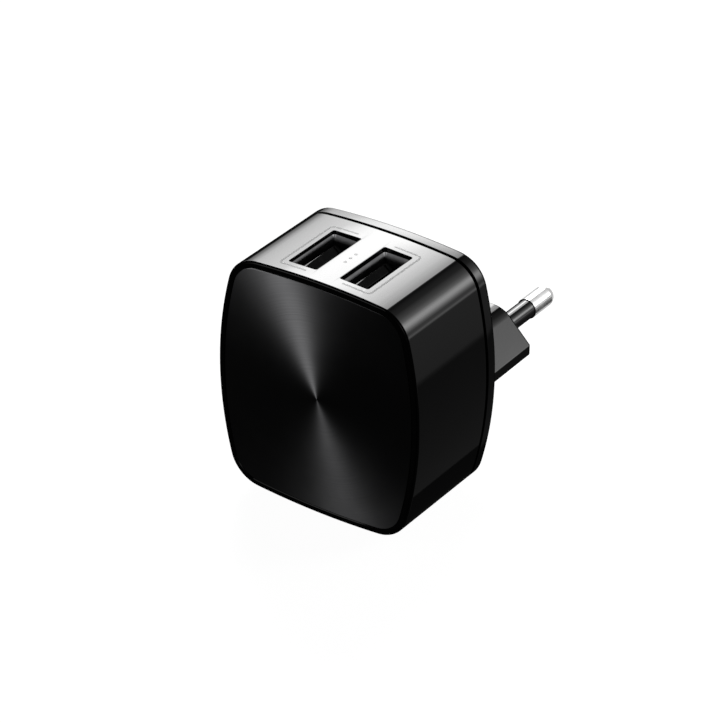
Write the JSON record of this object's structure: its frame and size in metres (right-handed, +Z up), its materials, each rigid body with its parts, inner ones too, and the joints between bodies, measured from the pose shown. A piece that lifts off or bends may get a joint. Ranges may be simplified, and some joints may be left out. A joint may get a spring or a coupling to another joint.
{
  "type": "usb wall charger",
  "caption": "Wall charger with a rounded-square gloss black body, spun-metal front plate, upright USB-A ports and a fixed Europlug.",
  "frame": {"origin": "centre of the plug's end face, midway between the two pins", "axes": "+Y along the pins into the wall socket, +Z up towards the open ends of the USB ports, +X to the right seen from the front plate"},
  "size_m": [0.0426, 0.0603, 0.0472],
  "materials": {
    "spun_plate": "circularly spun, dark anodised",
    "adhesive": "double-sided film",
    "gloss_black": "high-gloss moulded",
    "satin_black": "gloss rim, satin nose",
    "plated_brass": "bright nickel plate",
    "sleeve_black": "smooth",
    "inner_plastic": "moulded",
    "spring_brass": "stamped",
    "board": "lacquered glass-epoxy",
    "solder": "tin solder",
    "ferrite": "sintered",
    "wound_copper": "enamelled copper under yellow tape",
    "tinned_lead": "tinned",
    "brown_can": "shrink sleeve over aluminium can",
    "green_can": "shrink sleeve over aluminium can",
    "resistor_body": "lacquered",
    "blue_dip": "dipped resin over ceramic",
    "light_blue_dip": "dipped resin over ceramic",
    "chip_black": "moulded epoxy",
    "small_resistor": "ceramic",
    "small_capacitor": "ceramic",
    "fish_paper": "polyester sheet",
    "port_steel": "plated folded sheet",
    "port_plastic": "moulded",
    "gold_contact": "gold-flashed"
  },
  "bodies": {
    "charger": {"front_plate": "spun_plate", "plate_tape": "adhesive", "main_shell": "gloss_black", "rear_cover": "satin_black", "live_pin": "plated_brass", "neutral_pin": "plated_brass", "live_sleeve": "sleeve_black", "neutral_sleeve": "sleeve_black", "pin_holder": "inner_plastic", "live_contact": "spring_brass", "neutral_contact": "spring_brass", "main_board": "board", "solder_joints": "solder", "transformer_core": "ferrite", "transformer_bobbin": "inner_plastic", "transformer_winding": "wound_copper", "transformer_pins": "tinned_lead", "bulk_capacitor_upper": "brown_can", "bulk_capacitor_lower": "brown_can", "output_capacitor_left": "green_can", "output_capacitor_right": "green_can", "input_choke": "ferrite", "fuse_resistor": "resistor_body", "varistor": "blue_dip", "bridging_capacitor": "light_blue_dip", "bridge_rectifier": "chip_black", "controller_chip": "chip_black", "output_diode": "chip_black", "port_detection_chip": "chip_black", "surface_resistors": "small_resistor", "surface_capacitors": "small_capacitor", "barrier_sheet": "fish_paper", "usb_shell_left": "port_steel", "usb_shell_right": "port_steel", "usb_insulator_left": "port_plastic", "usb_insulator_right": "port_plastic", "usb_tails_left": "gold_contact", "usb_tails_right": "gold_contact"},
    "left_contacts": {"usb_contacts_left": "gold_contact"},
    "right_contacts": {"usb_contacts_right": "gold_contact"}
  },
  "joints": [
    {"name": "left_contacts_flex", "type": "hinge", "parent": "charger", "child": "left_contacts", "pos_m": [-0.00582, -0.0312, 0.0152], "axis": [0, -1, 0], "range_deg": [0, 3.5], "stiffness_Nm_per_rad": 0.5},
    {"name": "right_contacts_flex", "type": "hinge", "parent": "charger", "child": "right_contacts", "pos_m": [0.00498, -0.0312, 0.0152], "axis": [0, -1, 0], "range_deg": [0, 3.5], "stiffness_Nm_per_rad": 0.5}
  ]
}
